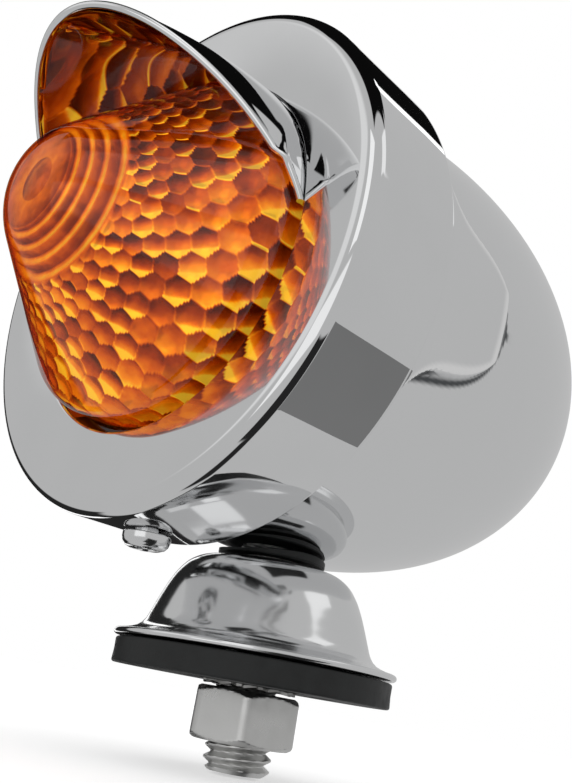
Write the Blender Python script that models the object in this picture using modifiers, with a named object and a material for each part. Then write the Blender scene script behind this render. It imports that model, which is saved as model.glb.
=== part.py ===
"""Bullet turn signal lamp: chrome housing, bezel with visor, amber lens, bayonet bulb and stud mount.

World frame: +Z up along the stud, the lamp faces -Y, origin on the stud axis at the rubber pad's underside.
Turned lamp parts are modelled about local Z, which points forward, with local Y up.
"""

import math

import bmesh
import bpy
from mathutils import Matrix

MM = 0.001
GAP = 0.3  # clearance between parts that touch or nest

# Bezel ring
BEZEL_R = 37.5
BEZEL_WIDTH = 16.5
BEZEL_WALL = 0.9
BEZEL_FRONT_ROUND = 2.0
BEZEL_REAR_ROUND = 1.6
FACE_DISH = 1.0  # how far the face sinks from the rim to the opening
FACE_WIDTH = 11.3  # from the rim in to the opening

# Visor
VISOR_WALL = 0.8
VISOR_OVERHANG = 0.8  # lip's furthest point ahead of the lens
VISOR_HALF_ANGLE = 87.0
VISOR_DROP = 1.9  # how far the lip leans in towards the lens
VISOR_BULGE = 0.4
VISOR_FOOT_WIDTH = 3.6
VISOR_TIP_SINK = 0.5  # how far the lip's ends sink behind the face

# Lens
LENS_WALL = 1.8
LENS_NOSE_R = 12.8
LENS_SHOULDER_R = 3.0
LENS_NECK = 2.3  # straight wall ahead of the rim plane, up to where the cone would meet it
LENS_FLANGE_T = 1.2

# Housing
HOUSING_WALL = 0.9
HOUSING_STEP = 2.2  # how far the bezel stands out over the housing's widest section
NECK_STEP = 4.5  # and over the housing's neck
HOUSING_WIDEST = 35.3  # distance of the widest section behind the rim plane
HOUSING_TAIL = 52.8  # length of the elliptical tail behind the widest section
BOSS_LENGTH = 17.6
BOSS_HALF_ANGLE = 26.0
BOSS_PROUD = 1.3
BOSS_CENTRE_ANGLE = 95.0
BOSS_ROUND = 2.4
BOSS_ROOT = 0.5  # how deep the boss is rooted in the housing wall
BOSS_EDGE = 0.9  # height of the boss's side above its root

GASKET_T = 1.0
GASKET_WIDTH = 5.0
REFLECTOR_WALL = 0.6
REFLECTOR_LAND = 6.1  # width of the flat land around the socket
REFLECTOR_DEPTH = 17.3
RIVET_R = 1.0
RIVET_HEAD_R = 1.9
RIVET_HEAD_T = 0.8

# Bulb socket and bulb
BULB_CAP_R = 7.5
BULB_CAP_LENGTH = 16.0
BULB_CAP_WALL = 0.5
CAP_FLOOR = 1.0  # from the contact's tip to the cap's floor
CAP_ROUND = 0.6
BULB_TIP = 0.8  # glass tip ahead of the rim plane
BULB_GLASS_R = 9.0
BULB_GLASS_WALL = 0.6
GLASS_NECK = 3.0  # how deep the glass sits in the cap
BULB_REACH = 37.5  # from the cap's contact to the glass tip
PIN_R = 1.0
PIN_REACH = 8.5
PIN_HEIGHT = 7.0  # from the cap's contact to the pins
PIN_PLAY = 0.05
BULB_CONTACT_R = 1.9
BULB_CONTACT_T = 0.2
INSULATOR_R = 4.3
STEM_RISE = 3.0
STEM_ROOT = 4.0
POST_WIRE_R = 0.25
FILAMENT_WIRE_R = 0.12
FILAMENT_COIL_R = 0.45
FILAMENT_TURNS = 5
FILAMENT_HALF = 2.6
BULB_PUSH = 2.0
BULB_TURN = 25.0
SOCKET_WALL = 0.7
SOCKET_LIP = 3.0
CONTACT_PLATE_T = 1.2
CONTACT_BUTTON_R = 1.7
CONTACT_BUTTON_T = 0.8
BUTTON_SEAT = 0.25
SPRING_WIRE_R = 0.35
SPRING_ROOM = 6.4
SPRING_TURNS = 4
SPRING_INSET = 1.6

# Stud mount
SEAT_GAP = 1.1  # from the dome's top to the housing
SEAT_INSET = 3.4
STUD_SETBACK = 32.7  # stud axis behind the rim plane
STUD_R = 4.76
STUD_BORE_R = 2.6
STUD_BELOW_NUT = 3.8
THREAD_PITCH = 1.5875
NUT_ACROSS_FLATS = 14.29
NUT_HEIGHT = 7.1
NUT_TURN = 16.4
NUT_CHAMFER = 0.9
STUD_HEAD_T = 4.0
BACKING_WASHER_WIDTH = 3.24
BACKING_WASHER_T = 1.0
STAR_WASHER_WIDTH = 1.9
STAR_WASHER_T = 0.7
STAR_WASHER_TEETH = 12
STAR_TOOTH = 0.8
PAD_R = 20.0
PAD_T = 3.5
BASE_FLANGE_R = 20.5
BASE_WALL = 0.9
BASE_SKIRT_R = 16.4
BASE_TOP_R = 11.4
BASE_HEIGHT = 13.7
BASE_SHOULDER = 3.0
BASE_SKIRT_RISE = 2.2
BASE_SKIRT_LEAN = 1.6  # how far the bell leans in over its belly
BASE_BELLY_RISE = 4.6
PAD_ROUND = 0.4
PAD_RECESS = 0.5  # around the stud, for the lock washer

# Bezel screw
SCREW_SETBACK = 9.0
SCREW_HEAD_R = 3.25
SCREW_HEAD_T = 2.1
SCREW_R = 1.75
SCREW_LENGTH = 7.5
CLIP_WIDTH = 8.0
CLIP_LENGTH = 5.0
CLIP_T = 1.2
CROSS_WIDTH = 0.9
CROSS_DEPTH = 1.2

ROUND = 40  # sides of the large turned parts
SMALL_ROUND = 24

# Radii that follow from the bezel's
opening_r = BEZEL_R - FACE_WIDTH
housing_r = BEZEL_R - HOUSING_STEP
neck_r = BEZEL_R - NECK_STEP
stack_r = BEZEL_R - BEZEL_WALL - 4 * GAP
lens_r = opening_r - VISOR_WALL - 2 * GAP
visor_root_r = opening_r - GAP
cone_sum = lens_r + LENS_NECK  # radius plus forward distance, the same all along the 45 degree cone
nose_centre = cone_sum - LENS_NOSE_R * math.sqrt(2)
visor_reach = nose_centre + LENS_NOSE_R + VISOR_OVERHANG
socket_r = BULB_CAP_R + GAP + SOCKET_WALL
land_r = socket_r + REFLECTOR_LAND
rivet_circle = (socket_r + land_r) / 2
clip_outer_r = neck_r - HOUSING_WALL - 2 * GAP
clip_inner_r = clip_outer_r - CLIP_T

# Levels along the lamp axis, measured forwards from the rim plane
face_back = -FACE_DISH - BEZEL_WALL
foot_front = face_back - GAP
foot_back = foot_front - VISOR_WALL
lens_flange_front = foot_back - GAP
lens_flange_back = lens_flange_front - LENS_FLANGE_T
gasket_front = lens_flange_back - GAP
gasket_back = gasket_front - GASKET_T
reflector_front = gasket_back - GAP
reflector_rim_back = reflector_front - REFLECTOR_WALL
housing_front = reflector_rim_back - GAP
housing_flange_back = housing_front - HOUSING_WALL
reflector_land = reflector_front - REFLECTOR_DEPTH
socket_flange_front = reflector_land - REFLECTOR_WALL - GAP
socket_flange_back = socket_flange_front - SOCKET_WALL
bulb_bottom = BULB_TIP - BULB_REACH
socket_mouth = bulb_bottom + BULB_CAP_LENGTH - 2 * GAP
contact_plate_front = bulb_bottom - GAP - CONTACT_BUTTON_T
contact_plate_back = contact_plate_front - CONTACT_PLATE_T
socket_lip_front = contact_plate_back - SPRING_ROOM
socket_back = socket_lip_front - SOCKET_WALL
pin_level = bulb_bottom + PIN_HEIGHT

# Levels above the pad's underside
base_bottom = PAD_T + GAP
base_top = base_bottom + BASE_HEIGHT
lamp_height = base_top + SEAT_GAP + housing_r  # lamp axis
backing_r = STUD_R + BACKING_WASHER_WIDTH
backing_bottom = lamp_height - math.sqrt((housing_r - HOUSING_WALL) ** 2 - backing_r**2) + GAP
stud_head_bottom = backing_bottom + BACKING_WASHER_T + GAP
washer_top = PAD_RECESS - GAP
washer_bottom = washer_top - STAR_WASHER_T
nut_top = washer_bottom - GAP
nut_bottom = nut_top - NUT_HEIGHT
stud_bottom = nut_bottom - STUD_BELOW_NUT

MATERIALS = {
    "chrome": ((0.80, 0.81, 0.82), 1.0, 0.06),
    "zinc": ((0.55, 0.55, 0.53), 1.0, 0.35),
    "steel": ((0.45, 0.45, 0.44), 1.0, 0.4),
    "reflector": ((0.85, 0.85, 0.83), 1.0, 0.12),
    "brass": ((0.72, 0.55, 0.25), 1.0, 0.3),
    "solder": ((0.6, 0.6, 0.6), 1.0, 0.5),
    "rubber": ((0.02, 0.02, 0.02), 0.0, 0.6),
    "insulator": ((0.12, 0.06, 0.03), 0.0, 0.5),
    "amber": ((0.95, 0.32, 0.02), 0.0, 0.08),
    "glass": ((0.9, 0.92, 0.92), 0.0, 0.03),
    "tungsten": ((0.3, 0.3, 0.32), 1.0, 0.5),
}


def clear_scene():
    for obj in list(bpy.data.objects):
        bpy.data.objects.remove(obj, do_unlink=True)


def new_collection(name):
    made = bpy.data.collections.new(name)
    bpy.context.scene.collection.children.link(made)
    return made


def material(name):
    found = bpy.data.materials.get(name)
    if found:
        return found
    colour, metallic, roughness = MATERIALS[name]
    made = bpy.data.materials.new(name)
    made.use_nodes = True
    shader = made.node_tree.nodes["Principled BSDF"]
    shader.inputs["Base Color"].default_value = (*colour, 1.0)
    shader.inputs["Metallic"].default_value = metallic
    shader.inputs["Roughness"].default_value = roughness
    return made


def pivot(name, place, turn=(0, 0, 0), parent=None):
    made = bpy.data.objects.new(name, None)
    parts.objects.link(made)
    made.location = [v * MM for v in place]
    made.rotation_euler = [math.radians(v) for v in turn]
    made.parent = parent
    return made


def add_object(name, mesh, material_name, parent=None, place=(0, 0, 0), turn=(0, 0, 0)):
    made = bpy.data.objects.new(name, mesh)
    parts.objects.link(made)
    made.data.materials.append(material(material_name))
    made.parent = parent
    made.location = [v * MM for v in place]
    made.rotation_euler = [math.radians(v) for v in turn]
    return made


def as_cutter(obj):
    parts.objects.unlink(obj)
    cutters.objects.link(obj)
    obj.hide_render = True
    obj.display_type = "WIRE"
    return obj


def arc(centre_r, centre_z, radius, start, end, steps):
    """Points of a round corner in a turned profile, from one angle to the other in degrees."""
    points = []
    for i in range(steps + 1):
        angle = math.radians(start + (end - start) * i / steps)
        points.append((centre_r + radius * math.cos(angle), centre_z + radius * math.sin(angle)))
    return points


def turned(name, profile, material_name, steps, closed=True, parent=None, place=(0, 0, 0), turn=(0, 0, 0)):
    """A profile of (radius, height) points turned about local Z."""
    mesh = bpy.data.meshes.new(name)
    points = [(r * MM, 0, z * MM) for r, z in profile]
    edges = [(i, i + 1) for i in range(len(points) - 1)]
    if closed:
        edges.append((len(points) - 1, 0))
    mesh.from_pydata(points, edges, [])
    made = add_object(name, mesh, material_name, parent, place, turn)
    screw = made.modifiers.new("Turn", "SCREW")
    screw.axis = "Z"
    screw.steps = steps
    screw.render_steps = steps
    screw.use_merge_vertices = True
    screw.merge_threshold = 0.00001
    screw.use_smooth_shade = True
    return made


def ring(name, outer_r, inner_r, top, bottom, material_name, steps, **where):
    profile = [(outer_r, top), (outer_r, bottom), (inner_r, bottom), (inner_r, top)]
    return turned(name, profile, material_name, steps, **where)


def disc(name, radius, top, bottom, material_name, steps, **where):
    profile = [(0, top), (radius, top), (radius, bottom), (0, bottom)]
    return turned(name, profile, material_name, steps, closed=False, **where)


def block(name, size, material_name, **where):
    mesh = bpy.data.meshes.new(name)
    shape = bmesh.new()
    bmesh.ops.create_cube(shape, size=1.0, matrix=Matrix.Diagonal([v * MM for v in size]).to_4x4())
    shape.to_mesh(mesh)
    shape.free()
    return add_object(name, mesh, material_name, **where)


def prism(name, radius, height, sides, material_name, **where):
    mesh = bpy.data.meshes.new(name)
    shape = bmesh.new()
    bmesh.ops.create_cone(
        shape, cap_ends=True, segments=sides, radius1=radius * MM, radius2=radius * MM, depth=height * MM
    )
    shape.to_mesh(mesh)
    shape.free()
    return add_object(name, mesh, material_name, **where)


def hole(name, shank_r, place, depth=8, parent=None):
    """A cutter for a round hole with a running clearance around its shank."""
    return as_cutter(prism(name, shank_r + GAP, depth, SMALL_ROUND, "steel", parent=parent, place=place))


def cut(target, cutter, operation="DIFFERENCE"):
    boolean = target.modifiers.new(operation.title(), "BOOLEAN")
    boolean.operation = operation
    boolean.solver = "EXACT"
    boolean.object = cutter
    return target


def loft(name, rows, material_name, **where):
    """A closed skin over rows of points; each row is a closed loop of the same length."""
    mesh = bpy.data.meshes.new(name)
    shape = bmesh.new()
    loops = [[shape.verts.new([v * MM for v in p]) for p in row] for row in rows]
    count = len(rows[0])
    for low, high in zip(loops, loops[1:]):
        for i in range(count):
            j = (i + 1) % count
            shape.faces.new((low[i], low[j], high[j], high[i]))
    shape.faces.new(loops[0][::-1])
    shape.faces.new(loops[-1])
    bmesh.ops.recalc_face_normals(shape, faces=shape.faces)
    bmesh.ops.triangulate(shape, faces=shape.faces)
    shape.to_mesh(mesh)
    shape.free()
    return add_object(name, mesh, material_name, **where)


def wire(name, points, radius, material_name, parent=None, sides=2):
    """A round wire through the points, made into a mesh with its caps welded."""
    curve = bpy.data.curves.new(name, "CURVE")
    curve.dimensions = "3D"
    curve.bevel_depth = radius * MM
    curve.bevel_resolution = sides
    curve.use_fill_caps = True
    spline = curve.splines.new("POLY")
    spline.points.add(len(points) - 1)
    for spot, point in zip(spline.points, points):
        spot.co = (*[v * MM for v in point], 1.0)
    return add_object(name, curve, material_name, parent)


def polar(radius, angle, forward):
    """A point of the lamp frame, its angle in degrees from straight up towards the lamp's left."""
    return (
        radius * math.sin(math.radians(angle)),
        radius * math.cos(math.radians(angle)),
        forward,
    )


# Housing


def housing_radius(forward):
    """Outer radius of the housing behind the bezel."""
    behind = (forward + HOUSING_WIDEST) / HOUSING_TAIL
    return housing_r * math.sqrt(max(0.0, 1 - behind * behind))


def housing_profile():
    neck_end = -HOUSING_WIDEST + HOUSING_TAIL * math.sqrt(1 - (neck_r / housing_r) ** 2)
    start = math.degrees(math.asin((neck_end + HOUSING_WIDEST) / HOUSING_TAIL))
    outer, inner = [], []
    steps = 11
    for i in range(steps + 1):
        angle = math.radians(start + (-90 - start) * i / steps)
        outer.append((housing_r * math.cos(angle), -HOUSING_WIDEST + HOUSING_TAIL * math.sin(angle)))
        inner.append(
            (
                (housing_r - HOUSING_WALL) * math.cos(angle),
                -HOUSING_WIDEST + (HOUSING_TAIL - HOUSING_WALL) * math.sin(angle),
            )
        )
    outer[-1] = (0, outer[-1][1])
    inner[-1] = (0, inner[-1][1])
    neck_in = neck_r - HOUSING_WALL
    mouth = [
        (neck_in, housing_front),
        (stack_r, housing_front),
        (stack_r, housing_flange_back),
        (neck_r, housing_flange_back),
    ]
    return inner[::-1] + mouth + outer


def side_boss(name, centre_angle):
    """The raised lobe behind the bezel on one side, tapering back into the housing."""
    front = -BEZEL_WIDTH - GAP
    rows = []
    count = 8
    across = 8
    for i in range(count + 1):
        share = math.sin(math.pi / 2 * i / count) * 0.985
        forward = front - BOSS_LENGTH * share
        half = (0.5 + 0.5 * math.exp(-5 * share)) * math.sqrt(1 - share**6) * BOSS_HALF_ANGLE
        crest = BEZEL_R - GAP - (BEZEL_R - GAP - housing_r - BOSS_PROUD) * share
        floor = housing_radius(forward) - BOSS_ROOT
        top, bottom = [], []
        for j in range(across + 1):
            side = -1 + 2 * j / across
            angle = centre_angle + half * side
            inset = (1 - abs(side)) * half * math.radians(1) * housing_r
            inset = min(inset, (1.0 - share) * BOSS_LENGTH + GAP)
            rounding = min(1.0, inset / BOSS_ROUND)
            height = BOSS_EDGE + (crest - floor - BOSS_EDGE) * math.sqrt(1 - (1 - rounding) ** 2)
            top.append(polar(floor + height, angle, forward))
            bottom.append(polar(floor, angle, forward))
        rows.append(top + bottom[::-1])
    return loft(name, rows, "chrome", parent=lamp_axis)


def make_housing():
    housing = turned("housing", housing_profile(), "chrome", ROUND, closed=False, parent=lamp_axis)
    for side in (-1, 1):
        boss = as_cutter(side_boss(f"boss_{'left' if side > 0 else 'right'}", side * BOSS_CENTRE_ANGLE))
        cut(housing, boss, "UNION")
    cut(housing, hole("stud_hole", STUD_R, (0, 0, lamp_height - housing_r)))
    cut(housing, hole("screw_hole", SCREW_R, (0, SCREW_SETBACK - STUD_SETBACK, lamp_height - neck_r)))


# Bezel and visor


def bezel_profile():
    wall = BEZEL_WALL
    front, rear = BEZEL_FRONT_ROUND, BEZEL_REAR_ROUND
    hem_r = neck_r + 3 * GAP
    outer = [(opening_r, -FACE_DISH)]
    outer += arc(BEZEL_R - front, -front, front, 90, 0, 4)
    outer += arc(BEZEL_R - rear, rear - BEZEL_WIDTH, rear, 0, -90, 3)
    outer.append((hem_r, -BEZEL_WIDTH))
    inner = [(hem_r, wall - BEZEL_WIDTH)]
    inner += arc(BEZEL_R - rear, rear - BEZEL_WIDTH, rear - wall, -90, 0, 2)
    inner += arc(BEZEL_R - front, -front, front - wall, 0, 90, 2)
    inner.append((opening_r, -FACE_DISH - wall))
    return outer + inner


def make_bezel():
    bezel = turned("bezel", bezel_profile(), "chrome", ROUND, parent=lamp_axis)
    place = (0, SCREW_SETBACK - STUD_SETBACK, lamp_height - BEZEL_R)
    cut(bezel, hole("bezel_screw_hole", SCREW_R, place, depth=4))


def lens_reach_at(forward):
    """Largest radius that the lens can have at this level: its neck, or its cone."""
    return min(lens_r, cone_sum - forward)


def visor_lip(angle):
    """Radius and forward distance of the lip: a slanting cut that curves up to the peak."""
    edge = abs(angle) / VISOR_HALF_ANGLE
    rise = max(0.0, math.cos(math.radians(angle)))
    low = -FACE_DISH - VISOR_TIP_SINK
    forward = low + (visor_reach - low) * (0.67 * rise + 0.33 * rise * rise)
    radius = visor_root_r - VISOR_DROP * (1 - edge**5)
    return max(radius, lens_reach_at(forward) + GAP + VISOR_WALL), forward


def visor_section(angle):
    """Closed section of the visor wall and its foot at one angle."""
    steps = 6
    lip_r, lip_forward = visor_lip(angle)
    root_forward = foot_front
    lip_forward = max(lip_forward, root_forward + VISOR_WALL + GAP)
    outer, inner = [], []
    for i in range(steps + 1):
        share = i / steps
        forward = root_forward + (lip_forward - root_forward) * share
        bulge = VISOR_BULGE * 4 * share * (1 - share) * (visor_root_r - lip_r) / VISOR_DROP
        radius = visor_root_r + (lip_r - visor_root_r) * share * share + bulge
        radius = max(radius, lens_reach_at(forward) + GAP + VISOR_WALL)
        if forward < -FACE_DISH + GAP:
            radius = min(radius, visor_root_r)
        outer.append(polar(radius, angle, forward))
        inner.append(polar(radius - VISOR_WALL, angle, forward))
    foot_r = visor_root_r + VISOR_FOOT_WIDTH
    foot = [
        polar(visor_root_r - VISOR_WALL, angle, foot_back),
        polar(foot_r, angle, foot_back),
        polar(foot_r, angle, foot_front),
    ]
    return foot + outer + inner[::-1][: steps + 1]


def make_visor():
    count = 24
    rows = []
    for i in range(count + 1):
        angle = VISOR_HALF_ANGLE * (2 * i / count - 1)
        rows.append(visor_section(angle))
    loft("visor", rows, "chrome", parent=lamp_axis)


# Lens, gasket and reflector


def lens_outline(inset):
    """Nose, cone and shoulder of the lens, offset inwards by the wall."""
    nose = arc(0, nose_centre, LENS_NOSE_R - inset, 90, 45, 5)
    nose[0] = (0, nose[0][1])
    shoulder_centre_r = lens_r - LENS_SHOULDER_R
    shoulder_centre = cone_sum - shoulder_centre_r - LENS_SHOULDER_R * math.sqrt(2)
    shoulder = arc(shoulder_centre_r, shoulder_centre, LENS_SHOULDER_R - inset, 45, 0, 3)
    return nose + shoulder


def make_lens():
    outer = lens_outline(0)
    outer += [
        (lens_r, lens_flange_front),
        (stack_r, lens_flange_front),
        (stack_r, lens_flange_back),
        (lens_r - LENS_WALL, lens_flange_back),
    ]
    inner = lens_outline(LENS_WALL)
    turned("lens", outer + inner[::-1], "amber", ROUND, closed=False, parent=lamp_axis)


def make_gasket():
    inner_r = stack_r - GASKET_WIDTH
    ring("lens_gasket", stack_r, inner_r, gasket_front, gasket_back, "rubber", ROUND, parent=lamp_axis)


def make_reflector():
    bowl_r = clip_inner_r - 3 * GAP
    bowl = []
    steps = 5
    for i in range(steps + 1):
        share = i / steps
        radius = bowl_r + (land_r - bowl_r) * share
        depth = (bowl_r**2 - radius**2) / (bowl_r**2 - land_r**2)
        bowl.append((radius, reflector_front - REFLECTOR_DEPTH * depth))
    hole_r = socket_r + GAP
    front = [(hole_r, reflector_land)] + bowl[::-1]
    back = [(radius + 0.35, level - REFLECTOR_WALL) for radius, level in bowl]
    rim = [(stack_r, reflector_front), (stack_r, reflector_rim_back)]
    profile = front + rim + back + [(hole_r, reflector_land - REFLECTOR_WALL)]
    reflector = turned("reflector", profile, "reflector", ROUND, parent=lamp_axis)
    cut_rivet_holes(reflector, "reflector", reflector_land)


# Socket and contact


def rivet_places():
    return [polar(rivet_circle, side * 90, 0)[:2] for side in (-1, 1)]


def cut_rivet_holes(target, label, level):
    for side, (x, y) in zip(("right", "left"), rivet_places()):
        cut(target, hole(f"{label}_rivet_hole_{side}", RIVET_R, (x, y, level), depth=4, parent=lamp_axis))


def make_rivets():
    top = reflector_land + GAP + RIVET_HEAD_T
    bottom = socket_flange_back - GAP - RIVET_HEAD_T
    for side, (x, y) in zip(("right", "left"), rivet_places()):
        profile = [
            (0, top),
            (RIVET_HEAD_R * 0.7, top - 0.2),
            (RIVET_HEAD_R, top - RIVET_HEAD_T),
            (RIVET_R, top - RIVET_HEAD_T),
            (RIVET_R, bottom + RIVET_HEAD_T),
            (RIVET_HEAD_R, bottom + RIVET_HEAD_T),
            (RIVET_HEAD_R * 0.7, bottom + 0.2),
            (0, bottom),
        ]
        turned(f"socket_rivet_{side}", profile, "steel", 12, closed=False, parent=lamp_axis, place=(x, y, 0))


def make_socket():
    bore_r = BULB_CAP_R + GAP
    flange_r = land_r - GAP
    lip_r = bore_r - SOCKET_LIP
    profile = [
        (socket_r, socket_mouth),
        (socket_r, socket_flange_front),
        (flange_r, socket_flange_front),
        (flange_r, socket_flange_back),
        (socket_r, socket_flange_back),
        (socket_r, socket_back),
        (lip_r, socket_back),
        (lip_r, socket_lip_front),
        (bore_r, socket_lip_front),
        (bore_r, socket_mouth),
    ]
    socket = turned("bulb_socket", profile, "steel", SMALL_ROUND, parent=lamp_axis)
    cut_rivet_holes(socket, "socket", socket_flange_back)
    cut_bayonet_slots(socket)


def cut_bayonet_slots(socket):
    """A window that the pins travel in, and the channel by which they enter it."""
    top = pin_level + PIN_R + GAP
    bottom = pin_level - PIN_R - GAP - BULB_PUSH
    margin = math.degrees((PIN_R + GAP) / BULB_CAP_R)
    for side, middle in (("right", -90), ("left", 90)):
        rows = []
        steps = 6
        for i in range(steps + 1):
            angle = middle + margin - (BULB_TURN + 2 * margin) * i / steps
            near, far = socket_r - 2 * SOCKET_WALL, socket_r + 1
            corners = ((near, bottom), (far, bottom), (far, top), (near, top))
            rows.append([polar(radius, angle, level) for radius, level in corners])
        cut(socket, as_cutter(loft(f"pin_window_{side}", rows, "steel", parent=lamp_axis)))
        channel_top = socket_mouth + 1
        channel_bottom = pin_level
        channel = block(
            f"pin_channel_{side}",
            (2 * (PIN_R + GAP), 3.0, channel_top - channel_bottom),
            "steel",
            parent=lamp_axis,
            place=polar(socket_r - SOCKET_WALL / 2, middle - BULB_TURN, (channel_top + channel_bottom) / 2),
            turn=(0, 0, BULB_TURN - middle),
        )
        cut(socket, as_cutter(channel))


def make_contact():
    plate_r = BULB_CAP_R - GAP
    front, back = contact_plate_front, contact_plate_back
    disc("contact_plate", plate_r, front, back, "insulator", SMALL_ROUND, parent=bulb_slide)
    top = bulb_bottom - GAP
    seat = contact_plate_front + BUTTON_SEAT
    profile = [(0, top), (CONTACT_BUTTON_R - GAP, top), (CONTACT_BUTTON_R, top - GAP)]
    profile += [(CONTACT_BUTTON_R, seat), (0, seat)]
    turned("contact_button", profile, "brass", 16, closed=False, parent=bulb_slide)
    points = []
    per_turn = 10
    coil_r = plate_r - SPRING_INSET
    low = socket_lip_front + GAP + SPRING_WIRE_R
    high = contact_plate_back - GAP - SPRING_WIRE_R
    for i in range(SPRING_TURNS * per_turn + 1):
        angle = 2 * math.pi * i / per_turn
        share = i / (SPRING_TURNS * per_turn)
        points.append((coil_r * math.cos(angle), coil_r * math.sin(angle), low + (high - low) * share))
    wire("contact_spring", points, SPRING_WIRE_R, "steel", parent=lamp_axis, sides=1)


# Bulb


def make_bulb():
    wall = BULB_CAP_WALL
    cap_top = bulb_bottom + BULB_CAP_LENGTH
    cap_floor = bulb_bottom + CAP_FLOOR
    glass_neck_r = BULB_CAP_R - wall - GAP
    floor_r = INSULATOR_R + GAP
    cap = [
        (BULB_CAP_R, cap_top),
        (BULB_CAP_R, cap_floor + CAP_ROUND),
        (BULB_CAP_R - CAP_ROUND, cap_floor),
        (floor_r, cap_floor),
        (floor_r, cap_floor + wall),
        (BULB_CAP_R - wall, cap_floor + wall + CAP_ROUND),
        (BULB_CAP_R - wall, cap_top),
    ]
    turned("bulb_cap", cap, "brass", SMALL_ROUND, parent=bulb_turn)
    insulator_bottom = bulb_bottom + BULB_CONTACT_T + GAP
    insulator = [
        (0, cap_floor + GAP),
        (INSULATOR_R, cap_floor + GAP),
        (INSULATOR_R, insulator_bottom + GAP),
        (INSULATOR_R - 1, insulator_bottom),
        (0, insulator_bottom),
    ]
    turned("bulb_insulator", insulator, "insulator", SMALL_ROUND, closed=False, parent=bulb_turn)
    contact_top = bulb_bottom + BULB_CONTACT_T
    contact = [(0, contact_top), (BULB_CONTACT_R - BULB_CONTACT_T, contact_top)]
    contact += [(BULB_CONTACT_R, bulb_bottom + BULB_CONTACT_T / 2)]
    contact += [(BULB_CONTACT_R - BULB_CONTACT_T, bulb_bottom), (0, bulb_bottom)]
    turned("bulb_contact", contact, "solder", 16, closed=False, parent=bulb_turn)
    glass_centre = bulb_bottom + BULB_REACH - BULB_GLASS_R
    neck_bottom = cap_top - GLASS_NECK
    outer = arc(0, glass_centre, BULB_GLASS_R, 90, -40, 7)
    inner = arc(0, glass_centre, BULB_GLASS_R - BULB_GLASS_WALL, 90, -40, 7)
    outer[0] = (0, outer[0][1])
    inner[0] = (0, inner[0][1])
    inner_neck_r = glass_neck_r - BULB_GLASS_WALL
    profile = outer + [(glass_neck_r, cap_top), (glass_neck_r, neck_bottom)]
    profile += [(inner_neck_r, neck_bottom), (inner_neck_r, cap_top)]
    turned("bulb_glass", profile + inner[::-1], "glass", 20, closed=False, parent=bulb_turn)
    make_filament(cap_top, glass_centre)
    pin_length = PIN_REACH - BULB_CAP_R - PIN_PLAY
    for side, sign in (("right", -1), ("left", 1)):
        prism(
            f"bulb_pin_{side}",
            PIN_R,
            pin_length,
            12,
            "brass",
            parent=bulb_turn,
            place=(sign * (BULB_CAP_R + PIN_PLAY + pin_length / 2), 0, pin_level),
            turn=(0, 90, 0),
        )


def make_filament(cap_top, glass_centre):
    stem_top = cap_top + STEM_RISE
    stem_root = cap_top - STEM_ROOT
    stem = [(0, stem_top), (1.4, stem_top - 0.5), (1.7, stem_top - 1.5), (2.6, stem_root), (0, stem_root)]
    turned("bulb_stem", stem, "glass", 16, closed=False, parent=bulb_turn)
    post_top = glass_centre - GAP - POST_WIRE_R
    for side, sign in (("right", -1), ("left", 1)):
        points = [(sign * 0.8, 0, stem_top + GAP), (sign * 1.4, 0, stem_top + 2.0)]
        points += [(sign * FILAMENT_HALF, 0, post_top)]
        wire(f"filament_post_{side}", points, POST_WIRE_R, "steel", parent=bulb_turn, sides=1)
    points = []
    per_turn = 8
    level = glass_centre + FILAMENT_COIL_R + FILAMENT_WIRE_R
    for i in range(FILAMENT_TURNS * per_turn + 1):
        angle = 2 * math.pi * i / per_turn
        x = FILAMENT_HALF * (2 * i / (FILAMENT_TURNS * per_turn) - 1)
        points.append((x, FILAMENT_COIL_R * math.cos(angle), level + FILAMENT_COIL_R * math.sin(angle)))
    wire("filament", points, FILAMENT_WIRE_R, "tungsten", parent=bulb_turn, sides=1)


# Stud mount


def make_base():
    wall = BASE_WALL
    shoulder = BASE_SHOULDER
    top_in = BASE_TOP_R - shoulder
    skirt_level = base_bottom + BASE_SKIRT_RISE
    lean = BASE_SKIRT_LEAN
    outer = arc(top_in, base_top - shoulder, shoulder, 90, 25, 4)
    outer += [(BASE_SKIRT_R - lean, skirt_level + BASE_BELLY_RISE)]
    outer += [(BASE_SKIRT_R - lean / 4, skirt_level + wall)]
    outer += [(BASE_SKIRT_R + wall / 2, skirt_level), (BASE_FLANGE_R - GAP, base_bottom + wall)]
    outer += [(BASE_FLANGE_R, base_bottom + 2 * GAP), (BASE_FLANGE_R, base_bottom)]
    bore_r = STUD_R + GAP
    inner = [(BASE_SKIRT_R, base_bottom), (BASE_SKIRT_R - lean / 4 - wall, skirt_level + GAP)]
    inner += [(BASE_SKIRT_R - lean - wall, skirt_level + BASE_BELLY_RISE - GAP)]
    inner += arc(top_in, base_top - shoulder, shoulder - wall, 25, 90, 3)
    inner += [(bore_r, base_top - wall)]
    turned("dome_base", [(bore_r, base_top)] + outer + inner, "chrome", ROUND)


def make_pad():
    nut_seat_r = NUT_ACROSS_FLATS / math.sqrt(3) + 2 * GAP
    profile = [
        (PAD_R - PAD_ROUND, PAD_T),
        (PAD_R, PAD_T - PAD_ROUND),
        (PAD_R, PAD_ROUND),
        (PAD_R - PAD_ROUND, 0),
        (nut_seat_r, 0),
        (nut_seat_r, PAD_RECESS),
        (STUD_R + GAP, PAD_RECESS),
        (STUD_R + GAP, PAD_T),
    ]
    turned("base_pad", profile, "rubber", ROUND)


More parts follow.
